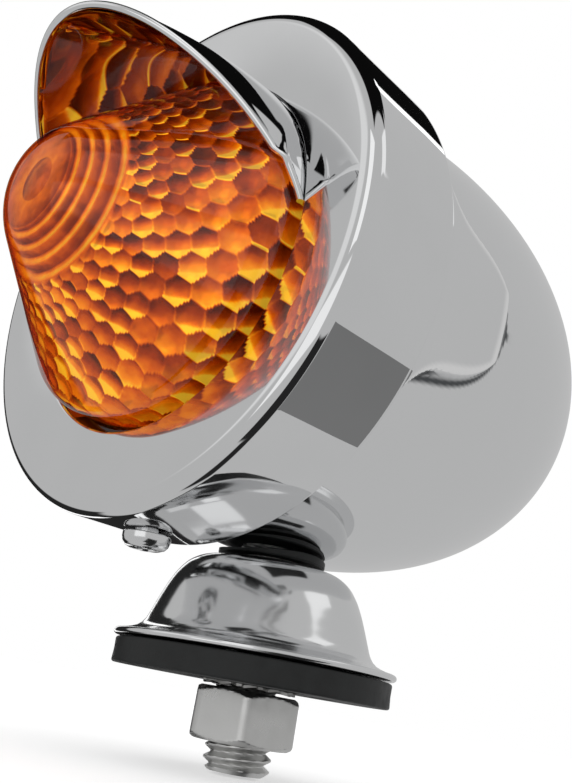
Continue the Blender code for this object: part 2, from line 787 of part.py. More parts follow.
def make_seat_washer():
    """A rubber saddle between the flat dome top and the round housing."""
    bottom = base_top + GAP
    outer_r = BASE_TOP_R - SEAT_INSET
    clear_r = housing_r + GAP
    top = lamp_height - math.sqrt(clear_r**2 - outer_r**2) + 1
    washer = ring("seat_washer", outer_r, STUD_R + GAP, top, bottom, "rubber", SMALL_ROUND)
    body = prism(
        "seat_washer_saddle",
        clear_r,
        40,
        ROUND,
        "steel",
        place=(0, 0, lamp_height),
        turn=(90, 0, 0),
    )
    cut(washer, as_cutter(body))


def make_stud():
    head_bottom = stud_head_bottom
    head_top = head_bottom + STUD_HEAD_T
    head_r = NUT_ACROSS_FLATS / 2
    profile = [
        (STUD_R, head_top),
        (head_r, head_top),
        (head_r, head_bottom),
        (STUD_R, head_bottom),
        (STUD_R, stud_bottom + 0.8),
        (STUD_R - 0.7, stud_bottom),
        (STUD_BORE_R, stud_bottom),
        (STUD_BORE_R, head_top),
    ]
    turned("mounting_stud", profile, "zinc", SMALL_ROUND)
    top = backing_bottom + BACKING_WASHER_T
    ring("backing_washer", backing_r, STUD_R + GAP, top, backing_bottom, "zinc", SMALL_ROUND)


def make_star_washer():
    """A lock washer with square teeth around its outer edge."""
    outer_r = STUD_R + STAR_WASHER_WIDTH
    rows = []
    for level in (washer_bottom, washer_top):
        row = []
        for i in range(STAR_WASHER_TEETH * 4):
            radius = outer_r if i % 4 < 2 else outer_r - STAR_TOOTH
            row.append(polar(radius, 360 * i / (STAR_WASHER_TEETH * 4), level))
        rows.append(row)
    washer = loft("star_washer", rows, "steel", parent=nut_slide)
    cut(washer, hole("star_washer_hole", STUD_R + GAP, (0, 0, washer_bottom), parent=nut_slide))


def make_nut():
    corner_r = NUT_ACROSS_FLATS / math.sqrt(3)
    crown_r = NUT_ACROSS_FLATS / 2 - GAP
    nut = prism(
        "hex_nut", corner_r, NUT_HEIGHT, 6, "zinc", parent=nut_slide, place=(0, 0, (nut_top + nut_bottom) / 2)
    )
    nut.rotation_euler = (0, 0, math.radians(NUT_TURN))
    crown = [
        (0, nut_top + 1),
        (crown_r, nut_top + 1),
        (crown_r, nut_top),
        (corner_r + GAP, nut_top - NUT_CHAMFER),
        (corner_r + GAP, nut_bottom + NUT_CHAMFER),
        (crown_r, nut_bottom),
        (crown_r, nut_bottom - 1),
        (0, nut_bottom - 1),
    ]
    cut(nut, as_cutter(turned("nut_crown", crown, "steel", 48, closed=False)), "INTERSECT")
    cut(nut, hole("nut_bore", STUD_R, (0, 0, (nut_top + nut_bottom) / 2), depth=NUT_HEIGHT + 2))


# Bezel screw


def make_bezel_screw():
    """A pan head screw under the bezel, with a cross recess, turned into a clip inside the housing."""
    seat = BEZEL_R + GAP
    where = dict(place=(0, SCREW_SETBACK - STUD_SETBACK, lamp_height), turn=(180, 0, 0))
    profile = [
        (0, seat + SCREW_HEAD_T),
        (SCREW_HEAD_R * 0.6, seat + SCREW_HEAD_T * 0.92),
        (SCREW_HEAD_R * 0.92, seat + SCREW_HEAD_T * 0.6),
        (SCREW_HEAD_R, seat + GAP),
        (SCREW_HEAD_R, seat),
        (SCREW_R, seat),
        (SCREW_R, seat - SCREW_LENGTH),
        (0, seat - SCREW_LENGTH),
    ]
    screw = turned("bezel_screw", profile, "chrome", 24, closed=False, **where)
    for number in range(2):
        slot = block(
            f"screw_slot_{number}",
            (CROSS_WIDTH, SCREW_HEAD_R * 1.1, 2 * CROSS_DEPTH),
            "steel",
            place=(0, SCREW_SETBACK - STUD_SETBACK, lamp_height - seat - SCREW_HEAD_T),
            turn=(0, 0, 45 + 90 * number),
        )
        cut(screw, as_cutter(slot))
    clip_level = (clip_outer_r + clip_inner_r) / 2
    clip = block(
        "bezel_clip",
        (CLIP_WIDTH, CLIP_LENGTH, CLIP_T),
        "zinc",
        place=(0, CLIP_LENGTH / 2 - housing_front + GAP - STUD_SETBACK, lamp_height - clip_level),
    )
    place = (0, SCREW_SETBACK - STUD_SETBACK, lamp_height - clip_level)
    cut(clip, hole("clip_hole", SCREW_R, place, depth=4))


clear_scene()
parts = new_collection("turn_signal_lamp")
cutters = new_collection("cutters")
lamp_axis = pivot("lamp_axis", (0, -STUD_SETBACK, lamp_height), (90, 0, 0))
bulb_slide = pivot("bulb_slide", (0, 0, 0), parent=lamp_axis)
bulb_turn = pivot("bulb_turn", (0, 0, 0), parent=bulb_slide)
nut_slide = pivot("nut_slide", (0, 0, 0))

make_housing()
make_bezel()
make_visor()
make_lens()
make_gasket()
make_reflector()
make_rivets()
make_socket()
make_contact()
make_bulb()
make_base()
make_pad()
make_seat_washer()
make_stud()
make_star_washer()
make_nut()
make_bezel_screw()
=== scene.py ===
import math

import bmesh
import bpy
import numpy as np
from mathutils import Matrix, Vector


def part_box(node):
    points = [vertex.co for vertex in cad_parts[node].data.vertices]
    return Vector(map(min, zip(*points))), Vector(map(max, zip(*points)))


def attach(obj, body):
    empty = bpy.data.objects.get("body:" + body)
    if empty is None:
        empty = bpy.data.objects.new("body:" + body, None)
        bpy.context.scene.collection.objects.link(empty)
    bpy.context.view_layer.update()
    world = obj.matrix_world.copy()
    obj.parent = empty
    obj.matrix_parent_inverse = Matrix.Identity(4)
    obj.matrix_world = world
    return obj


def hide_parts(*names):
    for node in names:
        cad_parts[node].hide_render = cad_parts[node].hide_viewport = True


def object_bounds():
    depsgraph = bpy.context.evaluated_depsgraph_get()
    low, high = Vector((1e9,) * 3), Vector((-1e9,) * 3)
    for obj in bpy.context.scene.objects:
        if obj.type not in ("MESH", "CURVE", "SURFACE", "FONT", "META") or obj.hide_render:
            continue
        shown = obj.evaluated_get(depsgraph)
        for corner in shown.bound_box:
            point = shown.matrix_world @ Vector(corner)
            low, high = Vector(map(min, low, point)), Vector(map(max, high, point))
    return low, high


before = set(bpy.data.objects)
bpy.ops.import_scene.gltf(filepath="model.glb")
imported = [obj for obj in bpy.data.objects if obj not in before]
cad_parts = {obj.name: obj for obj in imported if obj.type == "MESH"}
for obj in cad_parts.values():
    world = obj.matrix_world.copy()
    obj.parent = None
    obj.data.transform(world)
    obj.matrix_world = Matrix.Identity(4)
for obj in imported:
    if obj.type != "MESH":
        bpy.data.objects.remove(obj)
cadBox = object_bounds()
print("frame loaded:", len(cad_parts), "nodes")

mm = 0.001

# Where things are, read off the frame. The lamp looks along -Y, the stud runs down Z.
bezelLow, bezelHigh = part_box("bezel")
rimY = bezelLow.y / mm  # plane of the face's rim
lampZ = (bezelLow.z + bezelHigh.z) / 2 / mm
bezelR = (bezelHigh.x - bezelLow.x) / 2 / mm
bandDepth = (bezelHigh.y - bezelLow.y) / mm
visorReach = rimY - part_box("visor")[0].y / mm - 0.02
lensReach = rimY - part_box("lens")[0].y / mm
domeLow, domeHigh = [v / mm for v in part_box("dome_base")]
padLow, padHigh = [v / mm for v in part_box("base_pad")]
studLow, studHigh = [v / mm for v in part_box("mounting_stud")]
nutLow, nutHigh = [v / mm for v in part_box("hex_nut")]
starLow, starHigh = [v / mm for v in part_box("star_washer")]
seatLow, seatHigh = [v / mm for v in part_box("seat_washer")]
screwLow, screwHigh = [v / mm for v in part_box("bezel_screw")]
studBore = 5.06  # radius of the hole for the stud through dome, pad and saddle


# Small helpers

def lampSpot(radius, angle, ahead):
    # angle in degrees from straight up towards the lamp's left, ahead of the rim plane
    turn = math.radians(angle)
    return (radius * math.sin(turn), rimY - ahead, lampZ + radius * math.cos(turn))


def studSpot(radius, angle, height):
    turn = math.radians(angle)
    return (radius * math.cos(turn), radius * math.sin(turn), height)


def arcPoints(centreR, centreH, radius, start, end, steps):
    turns = [math.radians(start + (end - start) * i / steps) for i in range(steps + 1)]
    return [(centreR + radius * math.cos(t), centreH + radius * math.sin(t)) for t in turns]


def smoothLine(points, perSpan):
    # an even curve through a few chosen points
    padded = [points[0]] + list(points) + [points[-1]]
    line = []
    for i in range(1, len(padded) - 2):
        p0, p1, p2, p3 = [np.array(p, float) for p in padded[i - 1:i + 3]]
        for k in range(perSpan):
            t = k / perSpan
            line.append(tuple(0.5 * (2 * p1 + (p2 - p0) * t + (2 * p0 - 5 * p1 + 4 * p2 - p3) * t * t
                                     + (3 * p1 - p0 - 3 * p2 + p3) * t ** 3)))
    line.append(tuple(points[-1]))
    return line


def ease(value, low, high):
    t = np.clip((value - low) / (high - low), 0, 1)
    return t * t * (3 - 2 * t)


def finishMesh(name, shape, material, sharpAngle=32):
    bmesh.ops.remove_doubles(shape, verts=shape.verts, dist=2e-7)
    bmesh.ops.dissolve_degenerate(shape, edges=shape.edges, dist=1e-8)
    bmesh.ops.recalc_face_normals(shape, faces=shape.faces)
    mesh = bpy.data.meshes.new(name)
    shape.to_mesh(mesh)
    shape.free()
    mesh.shade_smooth()
    mesh.set_sharp_from_angle(angle=math.radians(sharpAngle))
    mesh.materials.append(material)
    made = bpy.data.objects.new(name, mesh)
    bpy.context.scene.collection.objects.link(made)
    return made


def skinRows(name, rows, material, closeRows=False, capEnds=False, sharpAngle=32, tones=None):
    # rows of points in mm, every row a closed loop of the same length; tones hold a shade for each point
    rows = np.array(rows, float) * mm
    count, across = rows.shape[:2]
    shape = bmesh.new()
    layer = shape.verts.layers.float.new("tone") if tones is not None else None
    verts = [[shape.verts.new(p) for p in row] for row in rows]
    if layer:
        for row, shades in zip(verts, tones):
            for vert, shade in zip(row, shades):
                vert[layer] = shade
    for i in range(count if closeRows else count - 1):
        low, high = verts[i], verts[(i + 1) % count]
        for j in range(across):
            k = (j + 1) % across
            shape.faces.new((low[j], low[k], high[k], high[j]))
    if capEnds:
        shape.faces.new(verts[0][::-1])
        shape.faces.new(verts[-1])
    return finishMesh(name, shape, material, sharpAngle)


def turned(name, profile, material, steps=192, spot=lampSpot, open=False, sharpAngle=32):
    # open: the profile starts and ends on the axis
    rows = [[spot(r, 360 * j / steps, h) for j in range(steps)] for r, h in profile]
    return skinRows(name, rows, material, closeRows=not open, sharpAngle=sharpAngle)


def applyModifiers(piece):
    graph = bpy.context.evaluated_depsgraph_get()
    mesh = bpy.data.meshes.new_from_object(piece.evaluated_get(graph))
    piece.modifiers.clear()
    piece.data = mesh
    return piece


def place(piece, body, slot, *nodes):
    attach(piece, body)
    if nodes:
        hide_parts(*nodes)
    return piece


# Finishes

class Nodes:
    # a thin hand on one material's node tree
    def __init__(self, name):
        self.material = bpy.data.materials.new(name)
        self.material.use_nodes = True
        self.tree = self.material.node_tree
        self.shader = self.tree.nodes["Principled BSDF"]

    def add(self, kind, **values):
        node = self.tree.nodes.new(kind)
        for key, value in values.items():
            if hasattr(node, key):
                setattr(node, key, value)
            else:
                node.inputs[key.replace("_", " ")].default_value = value
        return node

    def link(self, start, end):
        self.tree.links.new(start, end)

    def coordinates(self, stretch=(1, 1, 1)):
        where = self.add("ShaderNodeTexCoord")
        mapping = self.add("ShaderNodeMapping")
        mapping.inputs["Scale"].default_value = stretch
        self.link(where.outputs["Object"], mapping.inputs["Vector"])
        return mapping.outputs["Vector"]

    def noise(self, scale, detail=3.0, stretch=(1, 1, 1)):
        node = self.add("ShaderNodeTexNoise")
        node.inputs["Scale"].default_value = scale
        node.inputs["Detail"].default_value = detail
        self.link(self.coordinates(stretch), node.inputs["Vector"])
        return node.outputs["Fac"]

    def spread(self, value, low, high, fromLow=0.3, fromHigh=0.7):
        node = self.add("ShaderNodeMapRange")
        for key, number in (("From Min", fromLow), ("From Max", fromHigh), ("To Min", low), ("To Max", high)):
            node.inputs[key].default_value = number
        self.link(value, node.inputs["Value"])
        return node.outputs["Result"]

    def ramp(self, value, stops):
        node = self.add("ShaderNodeValToRGB")
        while len(node.color_ramp.elements) < len(stops):
            node.color_ramp.elements.new(0.5)
        for element, (at, colour) in zip(node.color_ramp.elements, stops):
            element.position = at
            element.color = (*colour, 1)
        self.link(value, node.inputs["Fac"])
        return node.outputs["Color"]

    def bump(self, height, strength, distance, before=None):
        node = self.add("ShaderNodeBump")
        node.inputs["Strength"].default_value = strength
        node.inputs["Distance"].default_value = distance
        self.link(height, node.inputs["Height"])
        if before is not None:
            self.link(before, node.inputs["Normal"])
        return node.outputs["Normal"]

    def metal(self, colour, spots, roughLow, roughHigh, grain, strength, distance):
        # plated or bare metal: cloudy roughness, faint colour change and a fine surface grain
        cloud = self.noise(spots)
        self.link(self.ramp(cloud, [(0.25, [c * 0.97 for c in colour]), (0.75, colour)]),
                  self.shader.inputs["Base Color"])
        self.shader.inputs["Metallic"].default_value = 1.0
        self.link(self.spread(cloud, roughLow, roughHigh), self.shader.inputs["Roughness"])
        self.link(self.bump(self.noise(grain, 2.0), strength, distance), self.shader.inputs["Normal"])
        return self.material


chromeLook = {"colour": (0.80, 0.805, 0.81), "spots": 90, "roughLow": 0.018, "roughHigh": 0.05,
              "grain": 140, "strength": 0.04, "distance": 0.00005}
softChromeLook = dict(chromeLook, roughLow=0.09, roughHigh=0.17, strength=0.08)
zincLook = {"colour": (0.66, 0.66, 0.65), "spots": 300, "roughLow": 0.24, "roughHigh": 0.42,
            "grain": 2600, "strength": 0.22, "distance": 0.00004}
steelLook = {"colour": (0.48, 0.48, 0.47), "spots": 350, "roughLow": 0.3, "roughHigh": 0.5,
             "grain": 2200, "strength": 0.3, "distance": 0.00004}
brassLook = {"colour": (0.78, 0.60, 0.30), "spots": 400, "roughLow": 0.2, "roughHigh": 0.38,
             "grain": 1800, "strength": 0.2, "distance": 0.00003}
mirrorLook = {"colour": (0.88, 0.88, 0.87), "spots": 120, "roughLow": 0.08, "roughHigh": 0.16,
              "grain": 900, "strength": 0.1, "distance": 0.00003}
solderLook = {"colour": (0.62, 0.62, 0.60), "spots": 900, "roughLow": 0.35, "roughHigh": 0.55,
              "grain": 3000, "strength": 0.4, "distance": 0.00005}
tungstenLook = {"colour": (0.30, 0.30, 0.32), "spots": 900, "roughLow": 0.4, "roughHigh": 0.6,
                "grain": 4000, "strength": 0.3, "distance": 0.00002}


def shellMaterial():
    # chrome whose tone goes from painted shade (0) over plain (0.5) to painted highlight (1)
    nodes = Nodes("shellChrome")
    nodes.metal(**chromeLook)
    tone = nodes.add("ShaderNodeAttribute", attribute_name="tone").outputs["Fac"]
    cloudy = nodes.add("ShaderNodeMath", operation="ADD")
    nodes.link(tone, cloudy.inputs[0])
    nodes.link(nodes.spread(nodes.noise(90), -0.02, 0.02), cloudy.inputs[1])
    plain = chromeLook["colour"]
    nodes.link(nodes.ramp(cloudy.outputs[0], [(0.04, (0.10, 0.105, 0.11)), (0.47, [c * 0.985 for c in plain]),
                                              (0.53, plain), (0.96, (1.0, 1.0, 1.0))]),
               nodes.shader.inputs["Base Color"])
    return nodes.material


def rubberMaterial(name, colour, roughness):
    nodes = Nodes(name)
    mottled = nodes.noise(450, 4.0)
    nodes.link(nodes.ramp(mottled, [(0.3, [c * 0.7 for c in colour]), (0.8, [c * 1.5 for c in colour])]),
               nodes.shader.inputs["Base Color"])
    nodes.link(nodes.spread(mottled, roughness - 0.08, roughness + 0.1), nodes.shader.inputs["Roughness"])
    fine = nodes.bump(nodes.noise(5200, 2.0), 0.3, 0.00006)
    nodes.link(nodes.bump(nodes.noise(700, 3.0), 0.25, 0.0002, fine), nodes.shader.inputs["Normal"])
    nodes.shader.inputs["Specular IOR Level"].default_value = 0.35
    return nodes.material


def glassMaterial(name):
    # clear glass
    nodes = Nodes(name)
    nodes.shader.inputs["Base Color"].default_value = (0.96, 0.97, 0.97, 1)
    nodes.shader.inputs["Transmission Weight"].default_value = 1.0
    nodes.shader.inputs["IOR"].default_value = 1.47
    nodes.link(nodes.spread(nodes.noise(200), 0.0, 0.03), nodes.shader.inputs["Roughness"])
    return nodes.material


amberLook = {"shades": ((0.0, (0.07, 0.007, 0.001)), (0.3, (0.32, 0.045, 0.002)), (0.5, (0.62, 0.14, 0.005)),
                        (0.74, (0.92, 0.36, 0.02)), (1.0, (1.0, 0.80, 0.14))),
             "glowStrength": 0.42, "metallic": 0.7, "roughness": 0.11,
             "tint": (0.985, 0.86, 0.50), "edge": (0.82, 0.30, 0.03)}


def amberBodyMaterial():
    # the faceted amber under the skin: light comes back out of it as it does from a mirror
    nodes = Nodes("amberBody")
    # the tone attribute holds painted light and shade of the cells and rings, with some random tone
    tone = nodes.add("ShaderNodeAttribute", attribute_name="tone").outputs["Fac"]
    cloudy = nodes.add("ShaderNodeMath", operation="ADD")
    nodes.link(tone, cloudy.inputs[0])
    nodes.link(nodes.spread(nodes.noise(420, 3.0), -0.12, 0.12), cloudy.inputs[1])
    colour = nodes.ramp(cloudy.outputs[0], amberLook["shades"])
    nodes.link(colour, nodes.shader.inputs["Base Color"])
    nodes.shader.inputs["Metallic"].default_value = amberLook["metallic"]
    nodes.link(nodes.spread(nodes.noise(500), amberLook["roughness"] - 0.04, amberLook["roughness"] + 0.05),
               nodes.shader.inputs["Roughness"])
    # painted glow: the amber gives off its own shades as light, though it is no lamp
    nodes.link(colour, nodes.shader.inputs["Emission Color"])
    nodes.shader.inputs["Emission Strength"].default_value = amberLook["glowStrength"]
    nodes.link(nodes.bump(nodes.noise(420, 2.0), 0.12, 0.0002), nodes.shader.inputs["Normal"])
    return nodes.material


def amberSkinMaterial():
    # the smooth outer skin: see-through, with its own gloss on top
    nodes = Nodes("amberSkin")
    clear = nodes.add("ShaderNodeBsdfTransparent")
    gloss = nodes.add("ShaderNodeBsdfGlossy")
    mix = nodes.add("ShaderNodeMixShader")
    edge = nodes.add("ShaderNodeFresnel")
    edge.inputs["IOR"].default_value = 1.52
    # the skin looks deeper where it is seen edge on
    facing = nodes.add("ShaderNodeLayerWeight")
    facing.inputs["Blend"].default_value = 0.5
    tint = nodes.ramp(facing.outputs["Facing"], [(0.55, amberLook["tint"]), (0.93, amberLook["edge"])])
    nodes.link(tint, clear.inputs["Color"])
    nodes.link(nodes.spread(nodes.noise(240), 0.015, 0.04), gloss.inputs["Roughness"])
    # only the outside of the skin shines
    sides = nodes.add("ShaderNodeNewGeometry")
    outside = nodes.add("ShaderNodeMath", operation="SUBTRACT")
    outside.inputs[0].default_value = 1.0
    outside.use_clamp = True
    nodes.link(sides.outputs["Backfacing"], outside.inputs[1])
    share = nodes.add("ShaderNodeMath", operation="MULTIPLY")
    nodes.link(edge.outputs["Fac"], share.inputs[0])
    nodes.link(outside.outputs[0], share.inputs[1])
    nodes.link(share.outputs[0], mix.inputs["Fac"])
    nodes.link(clear.outputs["BSDF"], mix.inputs[1])
    nodes.link(gloss.outputs["BSDF"], mix.inputs[2])
    nodes.link(mix.outputs["Shader"], nodes.tree.nodes["Material Output"].inputs["Surface"])
    nodes.tree.nodes.remove(nodes.shader)
    return nodes.material


chrome = Nodes("chrome").metal(**chromeLook)
shellChrome = shellMaterial()
softChrome = Nodes("softChrome").metal(**softChromeLook)
zinc = Nodes("zinc").metal(**zincLook)
steel = Nodes("steel").metal(**steelLook)
brass = Nodes("brass").metal(**brassLook)
mirror = Nodes("mirror").metal(**mirrorLook)
solder = Nodes("solder").metal(**solderLook)
tungsten = Nodes("tungsten").metal(**tungstenLook)
rubber = rubberMaterial("rubber", (0.010, 0.011, 0.011), 0.5)
board = rubberMaterial("board", (0.10, 0.055, 0.03), 0.6)
bulbGlass = glassMaterial("bulbGlass")
amberBody = amberBodyMaterial()
amberSkin = amberSkinMaterial()
print("materials made")


# Bezel: flat face, rounded rim, band

bezelShape = {"openingR": 26.2, "dish": 1.0, "wall": 0.9, "rimRound": 2.0, "rearRound": 0.7, "hemR": 33.9}


def makeBezel():
    b = bezelShape
    wall, rim, rear = b["wall"], b["rimRound"], b["rearRound"]
    back = -bandDepth
    outer = arcPoints(b["openingR"] + 0.3, -b["dish"] - wall / 2, wall / 2, 180, 96, 8)
    outer += arcPoints(bezelR - rim, -rim, rim, 96, 0, 22)
    outer += [(bezelR, back * share) for share in (0.3, 0.5, 0.7)]
    outer += arcPoints(bezelR - rear, back + rear, rear, 0, -90, 10)
    outer.append((b["hemR"], back))
    inner = [(b["hemR"], back + wall)]
    inner += arcPoints(bezelR - rear - 0.3, back + rear + 0.4, rear - 0.3, -90, 0, 5)
    inner += arcPoints(bezelR - rim, -rim, rim - wall, 0, 96, 10)
    inner += arcPoints(b["openingR"] + 0.3, -b["dish"] - wall / 2, wall / 2, 264, 190, 6)
    place(turned("bezelRing", outer + inner, chrome, steps=288), "head", "chrome", "bezel")


# Housing: bullet shell with a raised lobe on each side

housingShape = {"radius": 35.3, "widest": 35.3, "length": 52.8, "neckR": 33.0, "flangeR": 35.4,
                "frontBehind": 7.0, "wall": 0.9, "columns": 540}
lobeShape = {"centre": 96.5, "length": 17.6, "halfAngle": 17.5, "flare": 8.5, "flareFade": 2.6,
             "frontR": 37.15, "tipR": 36.55, "edge": 2.3, "footShadeWidth": 0.9}


def lobeRise(angle, behind, shellR):
    # how far the lobe lifts the shell here and its shade; behind is the depth behind the band
    s = lobeShape
    depth = behind / s["length"]
    share = math.sqrt(max(0.0, 1 - min(1.0, max(0.0, depth)) ** 3.2))
    half = s["halfAngle"] * share + s["flare"] * math.exp(-max(0.0, behind) / s["flareFade"])
    away = abs((angle - s["centre"] + 180) % 360 - 180)
    side = (half - away) * math.radians(1) * shellR
    tip = (s["length"] - behind) * 0.8
    inside = side if depth < 0.55 else min(side, tip)
    top = s["frontR"] + (s["tipR"] - s["frontR"]) * min(1.0, depth)
    # painted shade along the foot of the lobe, painted highlight on its rounded edge
    foot = float(ease(inside, -s["footShadeWidth"], -0.1) * (1 - ease(inside, 0.1, 0.5 * s["edge"])))
    paintedHighlight = float(ease(inside, 0.5 * s["edge"], 0.8 * s["edge"])
                   * (1 - ease(inside, s["edge"], 1.4 * s["edge"])))
    share = min(1.0, max(0.0, behind + 0.3))
    return max(0.0, top - shellR) * float(ease(inside, 0.0, s["edge"])), (0.5 * paintedHighlight - 0.5 * foot) * share


def makeHousing():
    h = housingShape
    columns = h["columns"]
    turns = [360 * j / columns for j in range(columns)]
    neckTurn = math.degrees(math.acos(h["neckR"] / h["radius"]))
    neckEnd = -h["widest"] + h["length"] * math.sin(math.radians(neckTurn))
    front = -h["frontBehind"]
    rows, tones = [], []

    def flatRow(radius, ahead):
        rows.append([lampSpot(radius, turn, ahead) for turn in turns])
        tones.append([0.5] * columns)

    def innerShell(steps):
        for i in range(steps + 1):
            turn = math.radians(-90 + (neckTurn + 90) * i / steps)
            flatRow((h["radius"] - h["wall"]) * max(0.0, math.cos(turn)),
                    -h["widest"] + (h["length"] - h["wall"]) * math.sin(turn))

    innerShell(40)
    for radius, ahead in ((h["neckR"] - h["wall"], front), (h["flangeR"] - 0.2, front),
                          (h["flangeR"], front - 0.2),
                          (h["flangeR"], front - 0.7), (h["flangeR"] - 0.2, front - h["wall"]),
                          (h["neckR"] + 0.3, front - h["wall"]), (h["neckR"], front - h["wall"] - 0.3)):
        flatRow(radius, ahead)
    aheads = list(np.arange(neckEnd, -bandDepth - lobeShape["length"] - 1.0, -0.33))
    lastTurn = math.degrees(math.asin((aheads[-1] + h["widest"]) / h["length"]))
    aheads += [-h["widest"] + h["length"] * math.sin(math.radians(lastTurn + (-90 - lastTurn) * i / 46))
               for i in range(1, 47)]
    for ahead in aheads:
        radius = h["radius"] * math.sqrt(max(0.0, 1 - ((ahead + h["widest"]) / h["length"]) ** 2))
        behind = -bandDepth - ahead
        row, shades = [], []
        for turn in turns:
            lift, shade = 0.0, 0.0
            if -0.6 < behind < lobeShape["length"] + 1.6:
                lift, shade = max(lobeRise(turn, behind, radius), lobeRise(-turn, behind, radius),
                                  key=lambda found: (found[0], abs(found[1])))
            row.append(lampSpot(radius + lift, turn, ahead))
            shades.append(0.5 + shade)
        rows.append(row)
        tones.append(shades)
    shell = skinRows("housingShell", rows, shellChrome, closeRows=False, tones=tones)
    place(shell, "head", "chrome", "housing")


# Visor: a peak with a rolled lip

visorShape = {"rootR": 25.9, "halfAngle": 87.0, "drop": 1.9, "tipSink": 0.5, "bulge": 0.4, "wall": 0.8,
              "lip": 0.52, "footFront": -2.2, "footWidth": 3.6, "across": 180, "along": 22}


def coneReach(ahead):
    # radius of the lens's outside at this distance ahead of the rim
    s = lensShape
    return min(s["neckR"], s["coneSum"] - ahead)


def visorLip(angle):
    v = visorShape
    edge = abs(angle) / v["halfAngle"]
    rise = max(0.0, math.cos(math.radians(angle)))
    low = -bezelShape["dish"] - v["tipSink"]
    ahead = low + (visorReach - low) * (0.67 * rise + 0.33 * rise * rise)
    radius = v["rootR"] - v["drop"] * (1 - edge ** 5)
    return max(radius, coneReach(ahead) + 0.3 + v["wall"]), max(ahead, v["footFront"] + 1.1)


def makeVisor():
    v = visorShape
    rows = []
    for j in range(v["across"] + 1):
        angle = v["halfAngle"] * (2 * j / v["across"] - 1)
        lipR, lipAhead = visorLip(angle)
        middle = []
        for i in range(v["along"] + 1):
            share = i / v["along"]
            ahead = v["footFront"] + (lipAhead - v["footFront"]) * share
            bulge = v["bulge"] * 4 * share * (1 - share) * (v["rootR"] - lipR) / v["drop"]
            radius = v["rootR"] + (lipR - v["rootR"]) * share * share + bulge
            radius = max(radius, coneReach(ahead) + 0.3 + v["wall"])
            if ahead < -bezelShape["dish"] + 0.3:
                radius = min(radius, v["rootR"])
            middle.append((radius - v["wall"] / 2, ahead))
        dr, da = middle[-1][0] - middle[-2][0], middle[-1][1] - middle[-2][1]
        long = math.hypot(dr, da)
        dr, da = dr / long, da / long
        outer = [(r + v["wall"] / 2, a) for r, a in middle[:-1]]
        inner = [(r - v["wall"] / 2, a) for r, a in middle[:-1]]
        endR, endA = middle[-1][0] - dr * v["lip"], middle[-1][1] - da * v["lip"]
        lip = []
        for k in range(13):
            turn = math.radians(115 - 230 * k / 12)
            across, ahead = math.sin(turn) * v["lip"], math.cos(turn) * v["lip"]
            lip.append((endR + da * across + dr * ahead, endA - dr * across + da * ahead))
        outer = [p for p in outer if p[1] < lip[0][1] - 0.05 or p[1] < v["footFront"] + 0.01]
        inner = [p for p in inner if p[1] < lip[-1][1] - 0.05 or p[1] < v["footFront"] + 0.01]
        outer = resample(outer, v["along"])
        inner = resample(inner, v["along"])
        foot = [(v["rootR"] - v["wall"], v["footFront"] - v["wall"]),
                (v["rootR"] + v["footWidth"], v["footFront"] - v["wall"]),
                (v["rootR"] + v["footWidth"], v["footFront"])]
        rows.append([lampSpot(r, angle, a) for r, a in foot + outer + lip + inner[::-1]])
    place(skinRows("visorPeak", rows, chrome, capEnds=True, sharpAngle=40), "head", "chrome", "visor")


def resample(points, count):
    points = np.array(points, float)
    if len(points) == 1:
        return [tuple(points[0])] * count
    steps = np.r_[0, np.cumsum(np.hypot(*np.diff(points, axis=0).T))]
    at = np.linspace(0, steps[-1], count)
    return list(zip(np.interp(at, steps, points[:, 0]), np.interp(at, steps, points[:, 1])))


# Lens: smooth clear skin over a honeycomb and a stepped nose

lensShape = {"neckR": 24.8, "noseR": 12.8, "shoulderR": 3.0, "flangeR": 35.4, "flangeFront": -3.3,
             "flangeBack": -4.5, "coneSum": 27.1, "skin": 0.15, "wall": 1.8}
# contrast and line set painted light on the cells: a lit and a shaded half, and bright ridges on their borders
cellShape = {"around": 38, "depth": 0.62, "under": 0.26, "reach": 0.333, "perCell": 14, "perRow": 13,
             "contrast": 0.75, "line": 0.32}
ringShape = {"edges": (6.7, 7.9, 9.1, 10.4, 11.9), "under": 0.26, "discRise": 0.1}


def lensOutline(inset, steps=14):
    # (radius, ahead) from the nose's tip over the cone and the shoulder to the flange
    s = lensShape
    noseCentre = lensReach - s["noseR"]
    nose = arcPoints(0, noseCentre, s["noseR"] - inset, 90, 45, steps)
    nose[0] = (0.0, nose[0][1])
    shoulderR = s["neckR"] - s["shoulderR"]
    shoulderAhead = s["coneSum"] - shoulderR - s["shoulderR"] * math.sqrt(2)
    shoulder = arcPoints(shoulderR, shoulderAhead, s["shoulderR"] - inset, 45, 0, 8)
    return nose + shoulder


def makeLensSkin():
    s = lensShape
    outer = lensOutline(0)
    outer += arcPoints(s["neckR"] + 0.5, s["flangeFront"] + 0.5, 0.5, 180, 270, 4)
    outer += [(s["flangeR"], s["flangeFront"]), (s["flangeR"], s["flangeFront"] - s["skin"] / 2),
              (s["neckR"] - s["skin"], s["flangeFront"] - s["skin"] / 2)]
    inner = lensOutline(s["skin"])
    place(turned("lensSkin", outer + inner[::-1], amberSkin, steps=224, open=True), "head", "amber", "lens")


